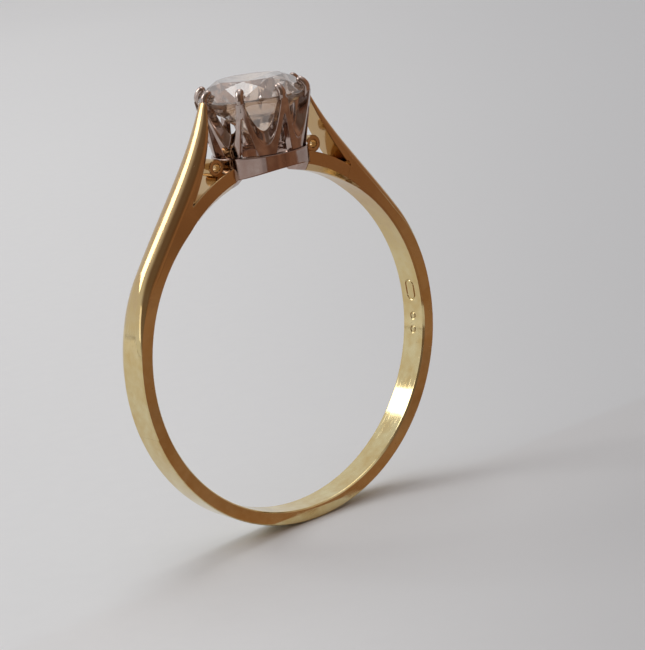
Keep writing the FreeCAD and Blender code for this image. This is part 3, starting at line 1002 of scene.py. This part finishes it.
def wallSection(column):
    turn = 2 * math.pi * column / (setting["claws"] * crown["columns"])
    fromClaw = (turn + clawPitch / 2) % clawPitch - clawPitch / 2
    fromScallop = turn % clawPitch - clawPitch / 2
    wall, edge = crown["wall"], crown["edge"]
    topOut, dropOut = edgeHeight(scallopZ, fromScallop, 0, girdleZ)
    topIn, dropIn = edgeHeight(scallopZ, fromScallop, wall, girdleZ)
    lowOut, riseOut = edgeHeight(archZ, fromClaw, 0, setting["ledgeZ"])
    lowIn, riseIn = edgeHeight(archZ, fromClaw, wall, setting["ledgeZ"])
    room = (topOut - lowOut) * 0.35
    dropOut, riseOut = min(dropOut, room), min(riseOut, room)
    roomIn = (topIn - lowIn) * 0.35
    dropIn, riseIn = min(dropIn, roomIn), min(riseIn, roomIn)
    profile = [(0.0, z) for z in spaced(lowOut + 1.6 * riseOut, topOut - 1.6 * dropOut, 10)]
    arcs = spaced(0, math.pi / 2, 4)
    profile += [(edge * (1 - math.cos(a)), topOut - dropOut * (1 - math.sin(a))) for a in arcs]
    for share in spaced(0.12, 0.88, 7):
        depth = wall * share
        profile.append((depth, onWall(scallopZ, fromScallop, depth, girdleZ)))
    profile += [(wall - edge * (1 - math.cos(a)), topIn - dropIn * (1 - math.sin(a))) for a in arcs[::-1]]
    profile += [(wall, z) for z in spaced(topIn - 1.6 * dropIn, lowIn + 1.6 * riseIn, 8)]
    profile += [(wall - edge * (1 - math.cos(a)), lowIn + riseIn * (1 - math.sin(a))) for a in arcs]
    for share in spaced(0.85, 0.15, 4):
        depth = wall * share
        profile.append((depth, onWall(archZ, fromClaw, depth, setting["ledgeZ"])))
    profile += [(edge * (1 - math.cos(a)), lowOut + riseOut * (1 - math.sin(a))) for a in arcs[::-1]]
    turn += twist
    points = []
    for depth, z in profile:
        radius = coneRadius(z) - depth
        points.append(Vector((radius * math.cos(turn), radius * math.sin(turn), z)))
    return points


def clawMesh(name):
    # a round wire up the cone's face and bent in over the stone, with a ball end
    run = Vector((coneSlope, 0, 1)).normalized()
    inward = Vector((-run.z, 0, run.x))
    radius = crown["clawRadius"]
    set0 = radius * math.sqrt(1 + coneSlope ** 2)
    rootZ = setting["ledgeZ"] + crown["archHeight"] + 0.1
    root = Vector((coneRadius(rootZ) - set0, 0, rootZ))
    bend = Vector((coneRadius(wallTopZ) - set0, 0, wallTopZ))
    stations = [(mix(root, bend, share), run, radius) for share in spaced(0, 1, 6)]
    pivot = bend + inward * crown["bendRadius"]
    for turn in spaced(0, math.radians(crown["bendAngle"]), 14)[1:]:
        reach = crown["bendRadius"]
        place = pivot - inward * (reach * math.cos(turn)) + run * (reach * math.sin(turn))
        stations.append((place, run * math.cos(turn) + inward * math.sin(turn), radius))
    tip, heading, tipRadius = stations[-1]
    for turn in spaced(0, math.pi / 2 * 0.97, 8)[1:]:
        stations.append((tip + heading * (radius * math.sin(turn)), heading, radius * math.cos(turn)))
    sections = []
    for place, heading, size in stations:
        side = across.cross(heading)
        sections.append([
            place + across * (size * math.cos(a)) + side * (size * math.sin(a))
            for a in spaced(0, 2 * math.pi, 24)[:-1]])
    points, faces = skin(sections)
    return meshObject(name, points, faces, whiteGold, 60)


def buildCrown():
    columns = setting["claws"] * crown["columns"]
    points, faces = skin([wallSection(column) for column in range(columns)], True)
    piece = meshObject("crownCollet", points, faces, whiteGold, 50)
    claw = clawMesh("clawBlank")
    cutter = newObject("stoneCutter", stoneMesh("stoneCutter", crown["seatGap"]))
    sheet, keys = clawTree
    applyTree(piece, sheet, keys, {
        "Claw": claw, "Stone": cutter, "Claws": setting["claws"], "Pitch": clawPitch,
        "Twist": twist, "Material": whiteGold}, 45)
    bpy.data.objects.remove(claw)
    bpy.data.objects.remove(cutter)
    addToRing(piece, "crown_collet")


buildCrown()


# ---- camera, floor and light

view = {
    "azimuth": -36.756, "elevation": 14.023, "roll": -7.813, "distance": 101.05,
    "lens": 114.48, "aimRight": 0.0178, "aimUp": 0.0075,
}


def buildCamera():
    turn, lift, roll = (math.radians(view[key]) for key in ("azimuth", "elevation", "roll"))
    back = Vector((math.sin(turn) * math.cos(lift), -math.cos(turn) * math.cos(lift), math.sin(lift)))
    right = Vector((math.cos(turn), math.sin(turn), 0))
    up = back.cross(right)
    right, up = right * math.cos(roll) + up * math.sin(roll), up * math.cos(roll) - right * math.sin(roll)
    aimBack = (back - right * view["aimRight"] - up * view["aimUp"]).normalized()
    aimRight = (right + back * view["aimRight"])
    aimRight = (aimRight - aimBack * aimRight.dot(aimBack)).normalized()
    aimUp = aimBack.cross(aimRight)
    camera = bpy.data.cameras.new("camera")
    camera.lens = view["lens"]
    camera.sensor_width = 36.0
    camera.clip_start = 0.001
    camera.clip_end = 20.0
    holder = bpy.data.objects.new("camera", camera)
    holder.matrix_world = Matrix((aimRight, aimUp, aimBack)).transposed().to_4x4()
    holder.location = back * (view["distance"] * mm)
    bpy.context.scene.collection.objects.link(holder)
    bpy.context.scene.camera = holder


floorPlan = {"reach": 1500.0, "steps": 40}


def buildFloor():
    points = []
    faces = []
    low = -hoop["bandRadius"]
    count = floorPlan["steps"] + 1
    for y in spaced(-floorPlan["reach"], floorPlan["reach"], floorPlan["steps"]):
        for x in spaced(-floorPlan["reach"], floorPlan["reach"], floorPlan["steps"]):
            points.append(Vector((x, y, low)))
    for row in range(count - 1):
        for column in range(count - 1):
            corner = row * count + column
            faces.append((corner, corner + 1, corner + 1 + count, corner + count))
    floor = meshObject("floor", points, faces, studioFloor("floorPaper"), 60)


warmCard = {
    # a warm board in front of the ring, which its near faces mirror: lying, then standing
    "lowY": (-1.7, -62.0), "x": (-30.0, 90.0), "rise": 34.0, "lift": 0.15,
    "glow": (0.32, 0.175, 0.10, 1), "shade": (0.13, 0.065, 0.035, 1), "steps": 24,
}


def buildWarmCard():
    material, sheet = newMaterial("warmBoard")
    place = sheet.node("ShaderNodeTexCoord", {}, {}, "Object")
    cloud = sheet.node("ShaderNodeTexNoise", {}, {"Vector": place, "Scale": 60.0, "Detail": 3.0})
    color = sheet.node("ShaderNodeMix", {"data_type": "RGBA", "clamp_factor": True}, {
        "Factor": cloud * 2.4 - 0.6, 6: warmCard["shade"], 7: warmCard["glow"]}, 2)
    surface = sheet.node("ShaderNodeBsdfPrincipled", {}, {
        "Base Color": (0.02, 0.012, 0.008, 1), "Roughness": 0.9,
        "Emission Color": color, "Emission Strength": 1.0})
    sheet.node("ShaderNodeOutputMaterial", {}, {"Surface": surface})
    low = warmCard["lift"] - hoop["bandRadius"]
    near, far = warmCard["lowY"]
    path = [(y, low) for y in spaced(near, far, warmCard["steps"])]
    path += [(far, z) for z in spaced(low, low + warmCard["rise"], warmCard["steps"])[1:]]
    sides = spaced(*warmCard["x"], warmCard["steps"])
    points = [Vector((x, y, z)) for y, z in path for x in sides]
    count = len(sides)
    faces = []
    for row in range(len(path) - 1):
        for column in range(count - 1):
            corner = row * count + column
            faces.append((corner, corner + count, corner + count + 1, corner + 1))
    card = meshObject("warmCard", points, faces, material, 60)
    card.visible_camera = False
    card.visible_shadow = False
    card.visible_diffuse = False
    card.visible_transmission = False


softboxes = {
    # name: direction from the ring, distance, width, height, power, colour
    "keyBox": ((-0.50, 0.62, 0.60), 420, 170, 170, 0.36, (1.0, 0.985, 0.96)),
    "topBox": ((0.20, 0.25, 1.0), 800, 420, 420, 1.15, (0.99, 0.995, 1.0)),
    "fillBox": ((-0.90, 0.10, 0.25), 520, 120, 160, 0.05, (1.0, 0.98, 0.95)),
}


def buildLights():
    for name, (direction, distance, width, height, power, color) in softboxes.items():
        lamp = bpy.data.lights.new(name, "AREA")
        lamp.shape = "RECTANGLE"
        lamp.size = width * mm
        lamp.size_y = height * mm
        lamp.energy = power
        lamp.color = color
        holder = bpy.data.objects.new(name, lamp)
        heading = Vector(direction).normalized()
        holder.location = heading * (distance * mm)
        holder.rotation_euler = heading.to_track_quat("Z", "Y").to_euler()
        bpy.context.scene.collection.objects.link(holder)


roomLight = {
    "pale": (0.70, 0.705, 0.72, 1), "warm": (0.33, 0.19, 0.12, 1), "dark": (0.14, 0.085, 0.05, 1),
    "warmSide": (0.62, -0.76, -0.15), "darkSide": (-0.70, -0.62, 0.36), "strength": 1.0,
}


def buildRoom():
    world = bpy.data.worlds.new("room")
    world.use_nodes = True
    world.node_tree.nodes.clear()
    bpy.context.scene.world = world
    sheet = Sheet(world.node_tree)
    heading = sheet.node("ShaderNodeTexCoord", {}, {}, "Generated")
    warmSide = Vector(roomLight["warmSide"]).normalized()
    facing = sheet.node("ShaderNodeVectorMath", {"operation": "DOT_PRODUCT"}, {
        0: heading, 1: warmSide}, "Value")
    share = sheet.node("ShaderNodeMapRange", {"clamp": True, "interpolation_type": "SMOOTHSTEP"}, {
        "Value": facing, "From Min": 0.05, "From Max": 0.65, "To Min": 0.0, "To Max": 1.0})
    color = sheet.node("ShaderNodeMix", {"data_type": "RGBA"}, {
        "Factor": share, 6: roomLight["pale"], 7: roomLight["warm"]}, 2)
    darkSide = Vector(roomLight["darkSide"]).normalized()
    facing = sheet.node("ShaderNodeVectorMath", {"operation": "DOT_PRODUCT"}, {
        0: heading, 1: darkSide}, "Value")
    share = sheet.node("ShaderNodeMapRange", {"clamp": True, "interpolation_type": "SMOOTHSTEP"}, {
        "Value": facing, "From Min": 0.55, "From Max": 0.86, "To Min": 0.0, "To Max": 0.92})
    color = sheet.node("ShaderNodeMix", {"data_type": "RGBA"}, {
        "Factor": share, 6: color, 7: roomLight["dark"]}, 2)
    glow = sheet.node("ShaderNodeBackground", {}, {"Color": color, "Strength": roomLight["strength"]})
    sheet.node("ShaderNodeOutputWorld", {}, {"Surface": glow})


buildCamera()
buildFloor()
buildWarmCard()
buildLights()
buildRoom()
bpy.context.scene.view_settings.view_transform = "Standard"
print("camera, floor and light made")
